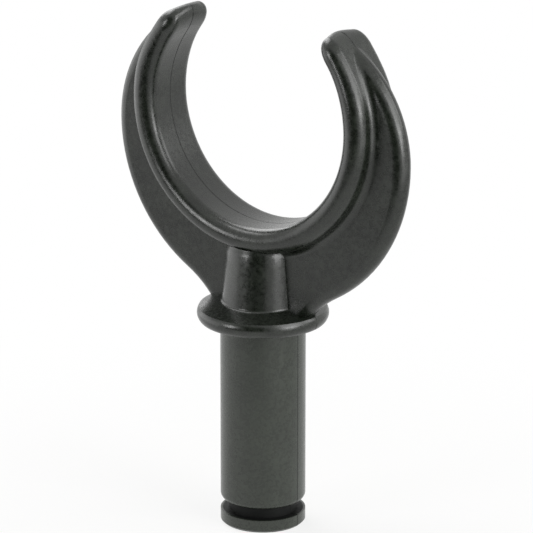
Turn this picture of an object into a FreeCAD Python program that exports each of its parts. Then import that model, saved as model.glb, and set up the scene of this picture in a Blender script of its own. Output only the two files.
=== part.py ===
import FreeCAD, Part
import math
import os

# Rowlock for a rowing boat, moulded in one piece.
# Millimetres. +Z is up, X runs from horn to horn, Y is the way the oar points.
# The origin is on the pin's axis, in the plane of the collar's underside, which rests on the socket.
# Names that end in _r are radii, those that end in _z are heights over the origin.

# Pin that turns in the boat's socket
pin_r = 9.5
pin_length = 42.0
pin_end_round_r = 1.4

# Neck and button under the pin, which keep a ring or lanyard on
neck_r = 7.6
neck_length = 2.4
button_r = 9.5
button_thickness = 2.9
button_chamfer = 0.5

# Collar that sits on the socket: a barrel-shaped rim with a crisp top edge, and a top that rises to the boss
collar_r = 14.65
collar_bottom_r = 13.9
collar_top_r = 14.2
collar_rim_height = 3.1
collar_top_rise = 1.2

# Boss between the collar and the band
boss_bottom_r = 9.1
boss_top_r = 8.1
boss_fillet_r = 0.7
boss_shoulder_drop = 1.5
boss_shoulder_step = 0.6
boss_sink = 1.0

# Round opening for the oar
opening_r = 25.4
opening_centre_z = 47.9

# Band with full-round edges that carries the oar, up to this angle over the horizontal on each side
band_thickness = 5.7
band_width = 15.4
band_end_angle = 36.0

# Tips: from this angle on, the band narrows and thins towards its end, which a dome closes. The dome's crest is
# shorter than the end's flat by the inset on each side, and rises to its middle. Its flanks are as full as the
# weight of their middle control points says: a quarter ellipse at 0.707, and squarer above that
taper_start_angle = 8.0
tip_width = 14.4
tip_thickness = 5.0
tip_crest_inset = 0.6
tip_crest_rise = 0.7
tip_length = 4.7
tip_fullness = 0.8

# Web outside the band: a crescent with a full-round edge, which runs down into the collar
web_thickness = 5.2
web_reach = 7.4
web_lower_r = 37.5
web_centre_drop = 7.0
web_foot_r = 24.0
web_foot_angle = 59.8

# The web's upper arc ends inside the tip: this far under the tip's back, and this angle past the band's end
web_tip_sink = 0.5
web_tip_past = 2.7
web_inner_set_back = 2.0

# Fillet in the crease between band and web, which is this much narrower than the band's flat beside the web
crease_flat = 0.45

# What the web's full-round edge leaves flat in its middle, on each side
edge_flat = 0.03

# How near two shapes have to be to count as touching, and where an edge is tested, as shares of its length
match = 0.001
test_places = (0.2, 0.5, 0.8)

# Worked out from the sizes above
neck_top_z = -pin_length
button_top_z = neck_top_z - neck_length
button_bottom_z = button_top_z - button_thickness
boss_bottom_z = collar_rim_height + collar_top_rise
band_half = band_thickness / 2
band_flat_half = band_width / 2 - band_half
band_middle_r = opening_r + band_half
band_outer_r = opening_r + band_thickness
tip_outer_r = opening_r + tip_thickness
tip_crest_half = (tip_width - tip_thickness) / 2 - tip_crest_inset
band_bottom_z = opening_centre_z - band_outer_r
web_half = web_thickness / 2
web_half_width = band_outer_r + web_reach
web_foot_z = collar_rim_height / 2
crease_r = band_flat_half - web_half - crease_flat
web_centre_z = opening_centre_z - web_centre_drop
lower_centre_x = web_half_width - web_lower_r

# A quarter circle's middle control point has this weight, and a cubic that follows an arc of some angle has
# its control points this far along the tangents: this share of the radius times the tangent of a quarter angle
round_weight = math.sqrt(0.5)
cubic_pull = 4 / 3


def mid_plane(x, z):
    """Point of the plane between the two halves of the mould."""
    return FreeCAD.Vector(x, 0, z)


def across(y):
    """Step across the band."""
    return FreeCAD.Vector(0, y, 0)


def on_circle(centre, radius, degrees):
    """Point of a circle in the mid-plane."""
    angle = math.radians(degrees)
    return centre + mid_plane(radius * math.cos(angle), radius * math.sin(angle))


def mirrored(point):
    """The same point of the other horn."""
    return FreeCAD.Vector(-point.x, point.y, point.z)


opening_centre = mid_plane(0, opening_centre_z)
lower_centre = mid_plane(lower_centre_x, web_centre_z)


def section_sides(degrees, width, thickness):
    """The band's section at an angle: a flat with half-round edges, as control points with weights.

    They come as its back, one edge, its inner face and the other edge.
    """
    outward = on_circle(mid_plane(0, 0), 1, degrees)
    middle = on_circle(opening_centre, opening_r + thickness / 2, degrees)
    outer = outward * (thickness / 2)
    inner = outward * (thickness / -2)
    flat = (width - thickness) / 2
    edge = [
        (outer, flat, 1),
        (outer, width / 2, round_weight),
        (mid_plane(0, 0), width / 2, 1),
        (inner, width / 2, round_weight),
        (inner, flat, 1),
    ]
    right = [(middle + height + across(place), weight) for height, place, weight in edge]
    left = [(middle + height - across(place), weight) for height, place, weight in edge]
    back = [left[0], (middle + outer, 1), right[0]]
    inside = [right[-1], (middle + inner, 1), left[-1]]
    return [back, right, inside, left]


def band_section(degrees):
    """The band's section at an angle, as a wire."""
    back, right, inside, left = [[point for point, weight in side] for side in section_sides(
        degrees, band_width, band_thickness)]
    return Part.Wire([
        Part.makeLine(back[0], back[2]),
        Part.Arc(right[0], right[2], right[4]).toShape(),
        Part.makeLine(inside[0], inside[2]),
        Part.Arc(left[4], left[2], left[0]).toShape(),
    ])


def band():
    """The band up to where it begins to taper on each side, as one turned strip."""
    turn = 180 + 2 * taper_start_angle
    return Part.Face(band_section(taper_start_angle)).revolve(opening_centre, across(1), turn)


def skin(rows, row_weights):
    """Face through rows of control points, each row a section's side, with one weight for each whole row.

    Along a row the points form conics of three, which share their ends.
    """
    poles = [[point for point, weight in row] for row in rows]
    weights = [[own * weight for point, weight in row] for row, own in zip(rows, row_weights)]
    spans = (len(rows[0]) - 1) // 2
    surface = Part.BSplineSurface()
    surface.buildFromPolesMultsKnots(
        poles, weights=weights, udegree=len(rows) - 1, vdegree=2,
        umults=[len(rows), len(rows)], uknots=[0, 1],
        vmults=[3] + [2] * (spans - 1) + [3], vknots=list(range(spans + 1)),
    )
    return surface.toShape()


def moved(row, step):
    """A row of control points, moved by a step."""
    return [(point + step, weight) for point, weight in row]


def tapered_side(start, end, start_along, end_along):
    """Face that follows the band from one section's side to another's, along arcs about the opening."""
    pull = cubic_pull * math.tan(math.radians(band_end_angle - taper_start_angle) / 4)
    after_start = []
    before_end = []
    for (start_point, weight), (end_point, same_weight) in zip(start, end):
        reach = (mid_plane(start_point.x, start_point.z) - opening_centre).Length * pull
        after_start.append((start_point + start_along * reach, weight))
        before_end.append((end_point - end_along * reach, weight))
    return skin([start, after_start, before_end, end], [1, 1, 1, 1])


def domed_side(side, middle, along):
    """Face that closes the band over one side of its last section, along full quarter arches up to the crest.

    The crest is arched: a conic's middle point stands twice as far over its ends as the conic does.
    """
    crest = []
    for point, weight in side:
        place = max(-tip_crest_half, min(tip_crest_half, point.y))
        rise = 2 * tip_crest_rise if place == 0 else 0
        crest.append((middle + along * (tip_length + rise) + across(place), weight))
    return skin([side, moved(side, along * tip_length), crest], [1, tip_fullness, 1])


def tip(way):
    """End of a horn: the band tapers, then a dome closes it. Way 1 is the right horn, and -1 the left one."""
    start = taper_start_angle if way > 0 else 180 - taper_start_angle
    end = band_end_angle if way > 0 else 180 - band_end_angle
    start_along = on_circle(mid_plane(0, 0), 1, start + way * 90)
    end_along = on_circle(mid_plane(0, 0), 1, end + way * 90)
    middle = on_circle(opening_centre, opening_r + tip_thickness / 2, end)
    start_sides = section_sides(start, band_width, band_thickness)
    last_sides = section_sides(end, tip_width, tip_thickness)
    faces = [Part.Face(band_section(start))]
    for start_side, last_side in zip(start_sides, last_sides):
        faces.append(tapered_side(start_side, last_side, start_along, end_along))
        faces.append(domed_side(last_side, middle, end_along))
    shell = Part.makeShell(faces)
    shell.sewShape()
    solid = Part.Solid(shell)
    if solid.Volume < 0:
        solid.reverse()
    return solid


def web_side():
    """Outer outline of the web's right half: its concave foot in the collar, its lower arc and its upper arc."""
    foot_centre = on_circle(lower_centre, web_lower_r + web_foot_r, -web_foot_angle)
    foot_top_angle = 180 - web_foot_angle
    foot_end_angle = 180 - math.degrees(math.asin((web_foot_z - foot_centre.z) / web_foot_r))
    foot_end = on_circle(foot_centre, web_foot_r, foot_end_angle)
    foot_middle = on_circle(foot_centre, web_foot_r, (foot_top_angle + foot_end_angle) / 2)
    foot_top = on_circle(lower_centre, web_lower_r, -web_foot_angle)
    lower_middle = on_circle(lower_centre, web_lower_r, -web_foot_angle / 2)
    widest = mid_plane(web_half_width, web_centre_z)

    # The upper arc leaves the widest point upright, which with its end gives its radius
    end = on_circle(opening_centre, tip_outer_r - web_tip_sink, band_end_angle + web_tip_past)
    inward = web_half_width - end.x
    upward = end.z - web_centre_z
    upper_r = (inward ** 2 + upward ** 2) / (2 * inward)
    upper_angle = math.degrees(math.atan2(upward, upper_r - inward))
    upper_middle = on_circle(mid_plane(web_half_width - upper_r, web_centre_z), upper_r, upper_angle / 2)
    return [
        Part.Arc(foot_end, foot_middle, foot_top).toShape(),
        Part.Arc(foot_top, lower_middle, widest).toShape(),
        Part.Arc(widest, upper_middle, end).toShape(),
    ]


def on_wire(wire, edge):
    """Whether an edge runs beside a wire of the mid-plane, on one face of the web."""
    middle = edge.valueAt((edge.FirstParameter + edge.LastParameter) / 2)
    beside = abs(abs(middle.y) - web_half) < match
    return beside and wire.distToShape(Part.Vertex(mid_plane(middle.x, middle.z)))[0] < match


def web():
    """The crescent plate outside the band, with its full-round edge."""
    right = web_side()
    left = [edge.mirror(mid_plane(0, 0), FreeCAD.Vector(1, 0, 0)) for edge in right]
    foot_end = right[0].Vertexes[0].Point
    end = right[-1].Vertexes[-1].Point
    inner_end = on_circle(opening_centre, band_middle_r, band_end_angle - web_inner_set_back)
    inner_middle = on_circle(opening_centre, band_middle_r, -90)
    outline = Part.Wire(Part.__sortEdges__(right + left + [
        Part.makeLine(foot_end, mirrored(foot_end)),
        Part.makeLine(end, inner_end),
        Part.makeLine(mirrored(end), mirrored(inner_end)),
        Part.Arc(mirrored(inner_end), inner_middle, inner_end).toShape(),
    ]))
    face = Part.Face(outline)
    face.translate(across(-web_half))
    plate = face.extrude(across(web_thickness))
    rims = [Part.Wire(right), Part.Wire(Part.__sortEdges__(left))]
    sharp = [edge for edge in plate.Edges if any(on_wire(rim, edge) for rim in rims)]
    return plate.makeFillet(web_half - edge_flat, sharp)


def on_both(edge, first, second):
    """Whether an edge lies on the surfaces of two solids, and so where they meet."""
    span = edge.LastParameter - edge.FirstParameter
    points = [Part.Vertex(edge.valueAt(edge.FirstParameter + span * place)) for place in test_places]
    shells = [first.Solids[0].OuterShell, second.Solids[0].OuterShell]
    return all(shell.distToShape(point)[0] < match for shell in shells for point in points)


def horns():
    """The U: band, tips and web, with the fillet in the crease between them."""
    ring = band().fuse([tip(1), tip(-1)])
    crescent = web()
    joined = ring.fuse(crescent)
    crease = [edge for edge in joined.Edges if on_both(edge, ring, crescent)]
    return joined.makeFillet(crease_r, crease)


def rounded_path(corners):
    """Edges of an open path through corners, each given as its point and the radius that rounds it."""
    edges = []
    start = corners[0][0]
    for index in range(1, len(corners) - 1):
        corner, radius = corners[index]
        end = corner
        if radius > 0:
            back = (corners[index - 1][0] - corner).normalize()
            ahead = (corners[index + 1][0] - corner).normalize()
            half = back.getAngle(ahead) / 2
            inward = (back + ahead).normalize()
            end = corner + back * (radius / math.tan(half))
            middle = corner + inward * (radius / math.sin(half) - radius)
            arc_end = corner + ahead * (radius / math.tan(half))
        edges.append(Part.makeLine(start, end))
        start = end
        if radius > 0:
            edges.append(Part.Arc(end, middle, arc_end).toShape())
            start = arc_end
    edges.append(Part.makeLine(start, corners[-1][0]))
    return edges


def turned_body():
    """Everything that is round about the pin's axis: button, neck, pin, collar and boss."""
    bottom = mid_plane(0, button_bottom_z)
    top = mid_plane(0, band_bottom_z + boss_sink)
    rim_bottom = mid_plane(collar_bottom_r, 0)
    rim_middle = mid_plane(collar_r, collar_rim_height / 2)
    rim_top = mid_plane(collar_top_r, collar_rim_height)
    below = [
        (bottom, 0),
        (mid_plane(button_r - button_chamfer, button_bottom_z), 0),
        (mid_plane(button_r, button_bottom_z + button_chamfer), 0),
        (mid_plane(button_r, button_top_z), 0),
        (mid_plane(neck_r, button_top_z), 0),
        (mid_plane(neck_r, neck_top_z), 0),
        (mid_plane(pin_r, neck_top_z), pin_end_round_r),
        (mid_plane(pin_r, 0), 0),
        (rim_bottom, 0),
    ]
    above = [
        (rim_top, 0),
        (mid_plane(boss_bottom_r, boss_bottom_z), boss_fillet_r),
        (mid_plane(boss_top_r, top.z - boss_shoulder_drop), 0),
        (mid_plane(boss_top_r - boss_shoulder_step, top.z), 0),
        (top, 0),
    ]
    edges = rounded_path(below)
    edges.append(Part.Arc(rim_bottom, rim_middle, rim_top).toShape())
    edges += rounded_path(above)
    edges.append(Part.makeLine(top, bottom))

    # The profile is turned to the Y axis first, so that the seam doesn't meet the web's edge
    origin = mid_plane(0, 0)
    axis = mid_plane(0, 1)
    profile = Part.Face(Part.Wire(edges))
    profile.rotate(origin, axis, 90)
    return profile.revolve(origin, axis, 360)


def rowlock():
    """The whole moulding, as one solid."""
    return turned_body().fuse(horns()).removeSplitter()


os.makedirs("parts", exist_ok=True)
part = rowlock()
part.exportStep("parts/rowlock.step")
box = part.optimalBoundingBox(False, False)
print("size", round(box.XLength, 2), round(box.YLength, 2), round(box.ZLength, 2))
print("solids", len(part.Solids), "valid", part.isValid(), "volume", round(part.Volume))
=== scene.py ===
"""Looks of a moulded nylon rowlock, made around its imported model."""
import math

import bmesh
import bpy
from bpy.props import FloatProperty, FloatVectorProperty, PointerProperty
from bpy.types import Operator, Panel, PropertyGroup
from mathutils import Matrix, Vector


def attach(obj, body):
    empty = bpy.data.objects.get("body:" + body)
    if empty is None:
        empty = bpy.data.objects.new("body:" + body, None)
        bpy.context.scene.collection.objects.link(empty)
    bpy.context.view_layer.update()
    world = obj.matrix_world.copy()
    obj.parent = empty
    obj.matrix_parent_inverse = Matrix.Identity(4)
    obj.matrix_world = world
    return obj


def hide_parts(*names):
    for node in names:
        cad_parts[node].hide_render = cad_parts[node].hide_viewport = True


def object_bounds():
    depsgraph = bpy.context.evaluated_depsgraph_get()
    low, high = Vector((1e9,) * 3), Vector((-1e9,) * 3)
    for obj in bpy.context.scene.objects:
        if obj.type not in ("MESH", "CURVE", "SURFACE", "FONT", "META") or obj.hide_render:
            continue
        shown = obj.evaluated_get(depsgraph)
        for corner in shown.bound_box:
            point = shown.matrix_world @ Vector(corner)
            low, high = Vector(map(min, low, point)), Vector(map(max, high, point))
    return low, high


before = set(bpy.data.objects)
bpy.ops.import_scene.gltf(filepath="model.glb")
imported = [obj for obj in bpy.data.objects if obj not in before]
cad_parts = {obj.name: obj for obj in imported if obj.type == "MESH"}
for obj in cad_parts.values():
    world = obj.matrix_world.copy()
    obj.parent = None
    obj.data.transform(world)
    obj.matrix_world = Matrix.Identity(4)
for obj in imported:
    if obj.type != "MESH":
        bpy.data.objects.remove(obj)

bl_info = {
    "name": "Moulded Rowlock",
    "version": (1, 0, 0),
    "blender": (4, 5, 0),
    "location": "View3D > Sidebar > Rowlock",
    "description": "Makes a moulded nylon rowlock on its CAD frame, with a studio stage",
    "category": "Object",
}

NODE = "rowlock"

# The CAD model's box, kept before anything is made
CAD_LOW, CAD_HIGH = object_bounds()

# Everything is in metres, and this turns millimetres into them
MM = 0.001

# Vertices nearer than this are one, and so near to a cut they lie on it
MERGE = 0.0001 * MM

# Faces that meet at more than this angle keep a sharp edge between them
SHARP_ANGLE = math.radians(25)

# The pin's radius, and the height at which it ends and its neck begins
PIN_RADIUS = 9.5 * MM
PIN_END = -40.6 * MM

# Depths under the pin's radius between which its wear ends and the neck's grime and painted shade
# begin
NECK_FADE = (0.6 * MM, 0.3 * MM)

# Heights over which the wear ends at the collar, and the grime and painted shade at the pin
COLLAR_FADE = 0.4 * MM
PIN_FADE = 0.2 * MM

# What the groove's full grime and painted shade add to the roughness, and the specular level of
# clean nylon and of that groove
GRIME_ROUGHNESS = 0.35
CLEAN_SPECULAR, GRIME_SPECULAR = 0.5, 0.12

# The parting line's shade, and the parts of the groove's width where it is full and gone
LINE_SHADE = 0.6
LINE_FADE = (0.25, 0.6)

# Values of the noise at which clouds and scuffs begin and are full
CLOUD_NOISE = (0.40, 0.75)
SCUFF_NOISE = (0.42, 0.75)

# Values of the scuffs' noise between which the roughness changes, and its change at both
ROUGH_NOISE = (0.3, 0.75)
ROUGH_CHANGE = (-0.04, 0.10)

# Sockets of a Mix node that is set to colours: both inputs and the result
MIX_FIRST, MIX_SECOND, MIX_RESULT = 6, 7, 2

# Soft boxes: azimuth and elevation in degrees, width and height in metres, power in watts
LAMPS = (
    ("right_box", 88, 24, 0.54, 0.52, 3.5),
    ("right_back_box", 126, 26, 0.26, 0.44, 1.2),
    ("right_mid_box", 82, 5, 0.32, 0.26, 1.4),
    ("right_low_box", 97, -20, 0.85, 0.24, 1.0),
    ("left_high_box", 262, 56, 0.60, 0.45, 3.6),
    ("left_back_box", 240, 30, 0.45, 0.45, 2.0),
    ("front_left_box", 338, 8, 0.24, 0.28, 1.8),
    ("left_low_box", 285, -4, 0.90, 0.50, 1.3),
)
LAMP_AIM = Vector((0, 0, 30 * MM))
LAMP_DISTANCE = 0.8

# The white tent's dark opening: its middle's azimuth in degrees, and its half angle at both
# ends of its soft edge
OPENING_AZIMUTH = 5.0
OPENING_INSIDE = math.radians(30)
OPENING_OUTSIDE = math.radians(50)

# The floor is a circle of this many sides
FLOOR_SIDES = 96

# Parts of the floor's radius where its shade is full and gone, and how white it is where full
SHADE_FADE = (0.1, 0.5)
SHADE_WHITENESS = 0.8

# In reflections the floor is dimmer towards this azimuth in degrees, between these parts of
# its radius
DIM_AZIMUTH = 115.0
DIM_FADE = (0.15, 0.75)

# The photograph is square, this many pixels wide
PICTURE_PIXELS = 533

# The photograph's camera, as fitted to it: azimuth and elevation in degrees, distance, focal
# length in pixels, the point that it is aimed at and the pixel where that point lies
CAMERA_AZIMUTH, CAMERA_ELEVATION = 36.0, 17.6
CAMERA_DISTANCE = 0.95
FOCAL_PIXELS = 4308
CAMERA_AIM = Vector((0, 0, 15 * MM))
AIM_PIXEL = (263.0, 254.0)
SENSOR_WIDTH_MM = 36


def linear(hex_colour):
    """Linear colour with full alpha, from an sRGB hex value."""
    channels = [int(hex_colour[place:place + 2], 16) / 255 for place in (1, 3, 5)]
    return [c / 12.92 if c <= 0.04045 else ((c + 0.055) / 1.055) ** 2.4 for c in channels] + [1.0]


class MouldingSizes(PropertyGroup):
    """Sizes of what the mould leaves on the rowlock."""

    line_width: FloatProperty(
        name="Parting line width", description="Width of the groove where the mould's halves met",
        default=0.3 * MM, min=0.05 * MM, unit="LENGTH", precision=5)
    line_depth: FloatProperty(
        name="Parting line depth", description="Depth of that groove",
        default=0.14 * MM, min=0, unit="LENGTH", precision=5)


class NylonFinish(PropertyGroup):
    """Colour and surface of the nylon."""

    base: FloatVectorProperty(
        name="Colour", description="Colour of the black nylon", subtype="COLOR", size=4,
        default=linear("#0c110a"), min=0, max=1)
    dust: FloatVectorProperty(
        name="Dust colour", description="Colour of the pale scuffs", subtype="COLOR", size=4,
        default=linear("#383e35"), min=0, max=1)
    # This colour stands for dirt and for painted shade in the parting line and the neck's groove
    dirt_and_shade: FloatVectorProperty(
        name="Dirt colour", description="Colour of the dirt in the grooves", subtype="COLOR",
        size=4, default=linear("#0c0d0d"), min=0, max=1)
    roughness: FloatProperty(
        name="Roughness", description="How satin the moulded surface is",
        default=0.26, min=0.05, max=1)
    pin_wear: FloatProperty(
        name="Pin wear", description="How much paler the pin is, where it rubs in the socket",
        default=0.4, min=0, max=1)
    # This darkening of the groove above the button is partly dirt and partly painted shade
    grime_and_shade: FloatProperty(
        name="Grime", description="How much dark grime sits in the groove above the button",
        default=0.9, min=0, max=1)
    cloud_size: FloatProperty(
        name="Cloud size", description="Size of the clouds where the melt cooled unevenly",
        default=6 * MM, min=0.5 * MM, unit="LENGTH", precision=5)
    clouds: FloatProperty(
        name="Clouds", description="How dusty the clouds are at most",
        default=0.25, min=0, max=1)
    scuff_size: FloatProperty(
        name="Scuff size", description="Size of the pale scuffs",
        default=1 * MM, min=0.1 * MM, unit="LENGTH", precision=5)
    scuffs: FloatProperty(
        name="Scuffs", description="How dusty the scuffs are at most",
        default=0.33, min=0, max=1)
    grain_size: FloatProperty(
        name="Grain size", description="Size of the fine grain of the mould's surface",
        default=0.6 * MM, min=0.05 * MM, unit="LENGTH", precision=5)
    grain_depth: FloatProperty(
        name="Grain depth", description="Depth of that grain",
        default=0.03 * MM, min=0, unit="LENGTH", precision=5)


class StageSettings(PropertyGroup):
    """The floor and the light."""

    floor: FloatVectorProperty(
        name="Floor colour", description="Colour of the pale floor", subtype="COLOR", size=4,
        default=linear("#f4f4f2"), min=0, max=1)
    floor_radius: FloatProperty(
        name="Floor radius", description="Radius of the round floor",
        default=0.3, min=0.2, unit="LENGTH")
    floor_back: FloatProperty(
        name="Floor set back", description="How far the floor's centre lies behind the object",
        default=0.13, min=0, unit="LENGTH")
    floor_dim_level: FloatProperty(
        name="Dim floor level",
        description="How bright the floor's dim side is in reflections", default=0.75, min=0)
    lamp_level: FloatProperty(
        name="Lamp level", description="Strength of all the soft lamps", default=1.0, min=0)
    room_level: FloatProperty(
        name="Room level", description="How strongly the white tent lights the object",
        default=0.06, min=0)
    tent_level: FloatProperty(
        name="Tent level", description="How bright the white tent is in reflections",
        default=0.96, min=0)
    opening_level: FloatProperty(
        name="Opening level", description="How bright the tent's opening is in reflections",
        default=0.03, min=0)


def add_node(tree, kind, settings=None, links=None):
    """Adds a node of a kind, sets its attributes and inputs, and links its inputs to sockets."""
    node = tree.nodes.new(kind)
    for name, value in (settings or {}).items():
        if isinstance(name, str) and hasattr(node, name):
            setattr(node, name, value)
        else:
            node.inputs[name].default_value = value
    for name, socket in (links or {}).items():
        tree.links.new(socket, node.inputs[name])
    return node


def new_material(name):
    """A material with an empty node tree."""
    material = bpy.data.materials.new(name)
    material.use_nodes = True
    material.node_tree.nodes.clear()
    return material


def add_pin_marks(tree, place, finish):
    """Wear outside the pin and the button, and on the neck between them a grimy darkening that is
    partly painted shade.
    """
    height = add_node(tree, "ShaderNodeSeparateXYZ", {}, {"Vector": place}).outputs["Z"]
    flat = add_node(tree, "ShaderNodeVectorMath", {
        "operation": "MULTIPLY", 1: (1, 1, 0)}, {0: place}).outputs[0]
    radius = add_node(tree, "ShaderNodeVectorMath", {
        "operation": "LENGTH"}, {0: flat}).outputs["Value"]
    neck_edge = {"From Min": PIN_RADIUS - NECK_FADE[0], "From Max": PIN_RADIUS - NECK_FADE[1]}
    under_collar = add_node(tree, "ShaderNodeMapRange", {
        "From Min": -COLLAR_FADE, "From Max": 0, "To Min": finish.pin_wear, "To Max": 0},
        {"Value": height}).outputs[0]
    wear = add_node(tree, "ShaderNodeMapRange", {
        **neck_edge, "To Min": 0}, {"Value": radius, "To Max": under_collar}).outputs[0]
    under_pin = add_node(tree, "ShaderNodeMapRange", {
        "From Min": PIN_END, "From Max": PIN_END + PIN_FADE, "To Min": finish.grime_and_shade, "To Max": 0},
        {"Value": height}).outputs[0]
    grime_and_shade = add_node(tree, "ShaderNodeMapRange", {
        **neck_edge, "To Max": 0}, {"Value": radius, "To Min": under_pin}).outputs[0]
    return wear, grime_and_shade


def add_line_shade(tree, place, sizes):
    """Dirt and shade in the parting line, which lies in the plane where Y is 0."""
    depth = add_node(tree, "ShaderNodeSeparateXYZ", {}, {"Vector": place}).outputs["Y"]
    off_plane = add_node(tree, "ShaderNodeMath", {
        "operation": "ABSOLUTE"}, {0: depth}).outputs[0]
    return add_node(tree, "ShaderNodeMapRange", {
        "interpolation_type": "SMOOTHSTEP", "From Min": sizes.line_width * LINE_FADE[0],
        "From Max": sizes.line_width * LINE_FADE[1], "To Min": LINE_SHADE, "To Max": 0},
        {"Value": off_plane}).outputs[0]


def make_nylon(finish, sizes):
    """Black nylon, injection moulded in a lightly blasted steel mould, then rubbed in use.

    It gives a satin charcoal surface with broad soft highlights whose borders the fine grain
    breaks up, faint flow clouds, pale scuffs, a paler pin where the rowlock turns in its socket,
    and a dull dark groove above the button, grimy and darkened with painted shade.
    """
    material = new_material("moulded_black_nylon")
    tree = material.node_tree
    place = add_node(tree, "ShaderNodeTexCoord").outputs["Object"]

    # Flow clouds, where the melt cooled unevenly
    clouds = add_node(tree, "ShaderNodeTexNoise", {
        "Scale": 1 / finish.cloud_size, "Detail": 3, "Roughness": 0.6},
        {"Vector": place}).outputs["Fac"]
    # Pale scuffs and dried dirt
    scuffs = add_node(tree, "ShaderNodeTexNoise", {
        "Scale": 1 / finish.scuff_size, "Detail": 4, "Roughness": 0.65},
        {"Vector": place}).outputs["Fac"]
    # Grain of the mould's blasted steel, drawn about as coarse as it needs to show
    grain = add_node(tree, "ShaderNodeTexNoise", {
        "Scale": 1 / finish.grain_size, "Detail": 3, "Roughness": 0.6},
        {"Vector": place}).outputs["Fac"]

    # Clouds, scuffs and wear make the nylon paler
    wear, grime_and_shade = add_pin_marks(tree, place, finish)
    cloud_share = add_node(tree, "ShaderNodeMapRange", {
        "From Min": CLOUD_NOISE[0], "From Max": CLOUD_NOISE[1], "To Min": 0,
        "To Max": finish.clouds}, {"Value": clouds}).outputs[0]
    scuff_share = add_node(tree, "ShaderNodeMapRange", {
        "From Min": SCUFF_NOISE[0], "From Max": SCUFF_NOISE[1], "To Min": 0,
        "To Max": finish.scuffs}, {"Value": scuffs}).outputs[0]
    dust_share = add_node(tree, "ShaderNodeMath", {
        "operation": "ADD"}, {0: cloud_share, 1: scuff_share}).outputs[0]
    pale_share = add_node(tree, "ShaderNodeMath", {
        "operation": "ADD", "use_clamp": True}, {0: dust_share, 1: wear}).outputs[0]
    body = add_node(tree, "ShaderNodeMix", {
        "data_type": "RGBA", MIX_FIRST: finish.base, MIX_SECOND: finish.dust},
        {0: pale_share}).outputs[MIX_RESULT]

    # Dirt and painted shade darken the parting line and the groove
    line_shade = add_line_shade(tree, place, sizes)
    dark_share = add_node(tree, "ShaderNodeMath", {
        "operation": "MAXIMUM"}, {0: line_shade, 1: grime_and_shade}).outputs[0]
    colour = add_node(tree, "ShaderNodeMix", {
        "data_type": "RGBA", MIX_SECOND: finish.dirt_and_shade},
        {0: dark_share, MIX_FIRST: body}).outputs[MIX_RESULT]

    # Scuffs are rougher than the clean nylon, and the groove's grime and painted shade are rough
    # and have little gloss
    satin = add_node(tree, "ShaderNodeMapRange", {
        "From Min": ROUGH_NOISE[0], "From Max": ROUGH_NOISE[1],
        "To Min": finish.roughness + ROUGH_CHANGE[0],
        "To Max": finish.roughness + ROUGH_CHANGE[1]}, {"Value": scuffs}).outputs[0]
    roughness = add_node(tree, "ShaderNodeMath", {
        "operation": "MULTIPLY_ADD", 1: GRIME_ROUGHNESS}, {0: grime_and_shade, 2: satin}).outputs[0]
    specular = add_node(tree, "ShaderNodeMapRange", {
        "To Min": CLEAN_SPECULAR, "To Max": GRIME_SPECULAR}, {"Value": grime_and_shade}).outputs[0]
    bump = add_node(tree, "ShaderNodeBump", {
        "Strength": 0.4, "Distance": finish.grain_depth}, {"Height": grain}).outputs[0]
    shader = add_node(tree, "ShaderNodeBsdfPrincipled", {"IOR": 1.55}, {
        "Base Color": colour, "Roughness": roughness, "Specular IOR Level": specular,
        "Normal": bump}).outputs[0]
    add_node(tree, "ShaderNodeOutputMaterial", {}, {"Surface": shader})
    return material


def add_piece(name, work, material):
    """Turns a bmesh into an object of the scene with one material."""
    mesh = bpy.data.meshes.new(name)
    work.to_mesh(mesh)
    work.free()
    mesh.materials.append(material)
    piece = bpy.data.objects.new(name, mesh)
    bpy.context.scene.collection.objects.link(piece)
    return piece


class ROWLOCK_OT_moulding(Operator):
    """Make the nylon moulding, with the parting line that its mould leaves"""

    bl_idname = "rowlock.moulding"
    bl_label = "Moulding"

    def execute(self, context):
        sizes = context.scene.rowlock_moulding
        work = bmesh.new()
        work.from_mesh(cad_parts[NODE].data)
        bmesh.ops.remove_doubles(work, verts=work.verts[:], dist=MERGE)

        # The groove is cut out of the surface along three planes, and its middle is pressed in,
        # but not where it crosses the bottom, on which the part stands
        for offset in (-sizes.line_width / 2, 0, sizes.line_width / 2):
            bmesh.ops.bisect_plane(
                work, geom=work.verts[:] + work.edges[:] + work.faces[:], dist=MERGE,
                plane_co=(0, offset, 0), plane_no=(0, 1, 0))
        bmesh.ops.remove_doubles(work, verts=work.verts[:], dist=MERGE)
        work.normal_update()
        for vertex in work.verts:
            if abs(vertex.co.y) < MERGE and vertex.co.z > CAD_LOW.z + MERGE:
                vertex.co -= vertex.normal * sizes.line_depth

        bmesh.ops.triangulate(work, faces=[face for face in work.faces if len(face.verts) > 4])
        for face in work.faces:
            face.smooth = True
        for edge in work.edges:
            edge.smooth = edge.calc_face_angle(0) < SHARP_ANGLE
        if any(len(edge.link_faces) != 2 for edge in work.edges):
            raise RuntimeError("the moulding's skin is open after the parting line was cut")

        nylon = make_nylon(context.scene.rowlock_nylon, sizes)
        piece = add_piece("rowlock_moulding", work, nylon)
        weighted = piece.modifiers.new("Even shading", "WEIGHTED_NORMAL")
        weighted.keep_sharp = True
        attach(piece, "root")
        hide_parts(NODE)
        return {"FINISHED"}


def direction(azimuth, elevation):
    """Unit vector from the object towards a place in the room.

    Azimuth 0 is in front, on the side of -Y.
    """
    turn, rise = math.radians(azimuth), math.radians(elevation)
    return Vector((
        math.sin(turn) * math.cos(rise), -math.cos(turn) * math.cos(rise), math.sin(rise)))


def aim_at(name, data, target, back, distance):
    """Adds a lamp or camera at a distance from a target, looking at it."""
    item = bpy.data.objects.new(name, data)
    item.location = target + back * distance
    item.rotation_euler = back.to_track_quat("Z", "Y").to_euler()
    bpy.context.scene.collection.objects.link(item)
    return item


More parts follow.
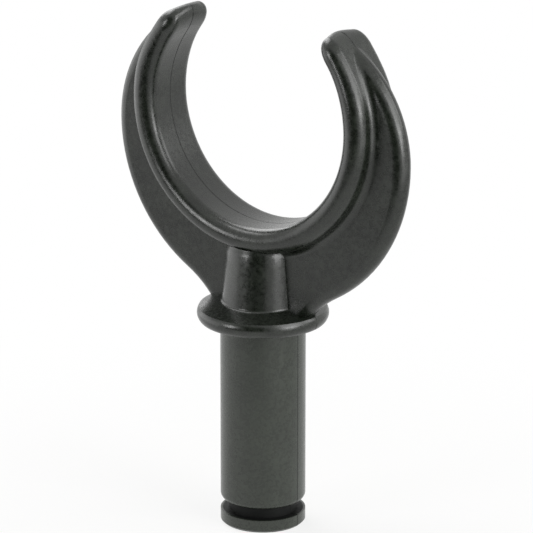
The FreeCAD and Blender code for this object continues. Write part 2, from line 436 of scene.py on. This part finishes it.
def add_lamp(name, azimuth, elevation, width, height, power):
    """A soft box on a sphere about the horns, aimed at them."""
    data = bpy.data.lights.new(name, "AREA")
    data.shape = "RECTANGLE"
    data.size = width
    data.size_y = height
    data.energy = power
    aim_at(name, data, LAMP_AIM, direction(azimuth, elevation), LAMP_DISTANCE)


def add_view_rays(tree):
    """Two sockets: 1 for the camera's rays, and 1 for those that show the background as it is.

    The second takes in reflected and refracted rays too.
    """
    path = add_node(tree, "ShaderNodeLightPath").outputs
    camera = path["Is Camera Ray"]
    mirrored = add_node(tree, "ShaderNodeMath", {
        "operation": "MAXIMUM"}, {0: camera, 1: path["Is Glossy Ray"]}).outputs[0]
    background = add_node(tree, "ShaderNodeMath", {
        "operation": "MAXIMUM"}, {0: mirrored, 1: path["Is Transmission Ray"]}).outputs[0]
    return camera, background


def make_floor_material(stage):
    """Matt white studio board, which shows near white and keeps the object's shadow."""
    material = new_material("studio_board")
    tree = material.node_tree
    camera, background = add_view_rays(tree)
    place = add_node(tree, "ShaderNodeTexCoord").outputs["Object"]

    # The board's own shade and shadow show near its middle, and it is plain white further out
    reach = add_node(tree, "ShaderNodeVectorMath", {
        "operation": "LENGTH"}, {0: place}).outputs["Value"]
    whiteness = add_node(tree, "ShaderNodeMapRange", {
        "interpolation_type": "SMOOTHSTEP", "From Min": stage.floor_radius * SHADE_FADE[0],
        "From Max": stage.floor_radius * SHADE_FADE[1], "To Min": SHADE_WHITENESS, "To Max": 1},
        {"Value": reach}).outputs[0]
    white_share = add_node(tree, "ShaderNodeMath", {
        "operation": "MULTIPLY"}, {0: background, 1: whiteness}).outputs[0]

    # Reflections show it dimmer on one side, and the camera doesn't
    side = add_node(tree, "ShaderNodeVectorMath", {
        "operation": "DOT_PRODUCT", 1: direction(DIM_AZIMUTH, 0)}, {0: place}).outputs["Value"]
    level = add_node(tree, "ShaderNodeMapRange", {
        "From Min": stage.floor_radius * DIM_FADE[0], "From Max": stage.floor_radius * DIM_FADE[1],
        "To Min": 1, "To Max": stage.floor_dim_level}, {"Value": side}).outputs[0]
    strength = add_node(tree, "ShaderNodeMath", {
        "operation": "MAXIMUM"}, {0: camera, 1: level}).outputs[0]

    board = add_node(tree, "ShaderNodeBsdfDiffuse", {"Color": stage.floor}).outputs[0]
    white = add_node(tree, "ShaderNodeEmission", {
        "Color": linear("#ffffff")}, {"Strength": strength}).outputs[0]
    mixed = add_node(tree, "ShaderNodeMixShader", {}, {
        0: white_share, 1: board, 2: white}).outputs[0]
    add_node(tree, "ShaderNodeOutputMaterial", {}, {"Surface": mixed})
    return material


def make_world(stage):
    """White tent with a dark opening in front.

    It shows white to the camera, and lights the object at a level of its own.
    """
    world = bpy.data.worlds.new("white_tent")
    world.use_nodes = True
    tree = world.node_tree
    tree.nodes.clear()
    camera, background = add_view_rays(tree)
    towards = add_node(tree, "ShaderNodeTexCoord").outputs["Generated"]
    nearness = add_node(tree, "ShaderNodeVectorMath", {
        "operation": "DOT_PRODUCT", 1: direction(OPENING_AZIMUTH, 0)},
        {0: towards}).outputs["Value"]
    tent = add_node(tree, "ShaderNodeMapRange", {
        "interpolation_type": "SMOOTHSTEP", "From Min": math.cos(OPENING_OUTSIDE),
        "From Max": math.cos(OPENING_INSIDE), "To Min": stage.tent_level,
        "To Max": stage.opening_level}, {"Value": nearness}).outputs[0]
    shown = add_node(tree, "ShaderNodeMath", {
        "operation": "MAXIMUM"}, {0: camera, 1: tent}).outputs[0]
    strength = add_node(tree, "ShaderNodeMapRange", {
        "To Min": stage.room_level}, {"Value": background, "To Max": shown}).outputs[0]
    white = add_node(tree, "ShaderNodeBackground", {
        "Color": linear("#ffffff")}, {"Strength": strength}).outputs[0]
    add_node(tree, "ShaderNodeOutputWorld", {}, {"Surface": white})
    bpy.context.scene.world = world


def make_camera():
    """Camera of the photograph, as fitted to it."""
    data = bpy.data.cameras.new("camera")
    data.sensor_width = SENSOR_WIDTH_MM
    data.lens = SENSOR_WIDTH_MM * FOCAL_PIXELS / PICTURE_PIXELS
    data.shift_x = (PICTURE_PIXELS / 2 - AIM_PIXEL[0]) / PICTURE_PIXELS
    data.shift_y = (AIM_PIXEL[1] - PICTURE_PIXELS / 2) / PICTURE_PIXELS
    back = direction(CAMERA_AZIMUTH, CAMERA_ELEVATION)
    bpy.context.scene.camera = aim_at("camera", data, CAMERA_AIM, back, CAMERA_DISTANCE)


class ROWLOCK_OT_stage(Operator):
    """Make the floor, the white tent, the lamps and the camera"""

    bl_idname = "rowlock.stage"
    bl_label = "Stage"

    def execute(self, context):
        stage = context.scene.rowlock_stage
        work = bmesh.new()
        bmesh.ops.create_circle(
            work, cap_ends=True, segments=FLOOR_SIDES, radius=stage.floor_radius)
        back = direction(OPENING_AZIMUTH, 0) * -stage.floor_back
        bmesh.ops.translate(work, verts=work.verts[:], vec=(back.x, back.y, CAD_LOW.z))
        add_piece("floor", work, make_floor_material(stage))
        make_world(stage)
        for name, azimuth, elevation, width, height, power in LAMPS:
            add_lamp(name, azimuth, elevation, width, height, power * stage.lamp_level)
        make_camera()
        context.scene.view_settings.view_transform = "Standard"
        return {"FINISHED"}


class ROWLOCK_PT_sidebar(Panel):
    """Lists what the rowlock's add-on makes"""

    bl_label = "Rowlock"
    bl_idname = "ROWLOCK_PT_sidebar"
    bl_space_type = "VIEW_3D"
    bl_region_type = "UI"
    bl_category = "Rowlock"

    def draw(self, context):
        scene = context.scene
        for group in (scene.rowlock_moulding, scene.rowlock_nylon, scene.rowlock_stage):
            for name in group.__annotations__:
                self.layout.prop(group, name)
        self.layout.operator("rowlock.moulding")
        self.layout.operator("rowlock.stage")


CLASSES = (
    MouldingSizes, NylonFinish, StageSettings,
    ROWLOCK_OT_moulding, ROWLOCK_OT_stage, ROWLOCK_PT_sidebar,
)


def register():
    """Adds the classes and the scene's settings."""
    for item in CLASSES:
        bpy.utils.register_class(item)
    bpy.types.Scene.rowlock_moulding = PointerProperty(type=MouldingSizes)
    bpy.types.Scene.rowlock_nylon = PointerProperty(type=NylonFinish)
    bpy.types.Scene.rowlock_stage = PointerProperty(type=StageSettings)


def unregister():
    """Takes the settings and the classes out again."""
    del bpy.types.Scene.rowlock_stage
    del bpy.types.Scene.rowlock_nylon
    del bpy.types.Scene.rowlock_moulding
    for item in reversed(CLASSES):
        bpy.utils.unregister_class(item)


def main():
    """Makes the rowlock and its stage."""
    register()
    bpy.ops.rowlock.moulding()
    bpy.ops.rowlock.stage()


if __name__ == "__main__":
    main()
